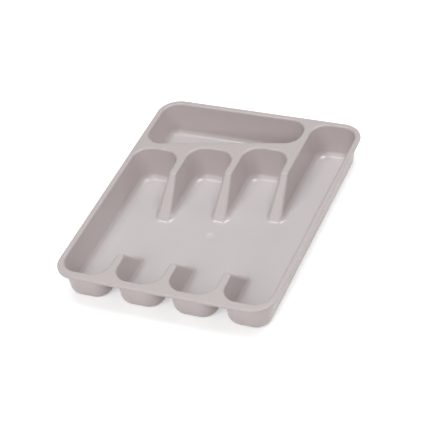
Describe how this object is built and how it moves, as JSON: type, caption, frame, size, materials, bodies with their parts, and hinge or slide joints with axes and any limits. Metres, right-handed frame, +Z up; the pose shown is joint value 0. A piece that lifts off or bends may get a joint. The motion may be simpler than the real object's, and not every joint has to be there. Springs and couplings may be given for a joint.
{
  "type": "cutlery tray",
  "caption": "Shallow one-piece drawer tray with side-by-side cutlery lanes, low dividers that ramp down to an open floor, and a wide compartment behind a slanted wall.",
  "frame": {"origin": "middle of the underside, on the plane the tray rests on", "axes": "+X to the right across the lanes, +Y along the lanes from the pocket end to the wide compartment, +Z up out of the tray"},
  "size_m": [0.26, 0.33, 0.0406],
  "materials": {
    "tray_plastic": "satin"
  },
  "bodies": {
    "root": {"tray": "tray_plastic"}
  },
  "joints": []
}
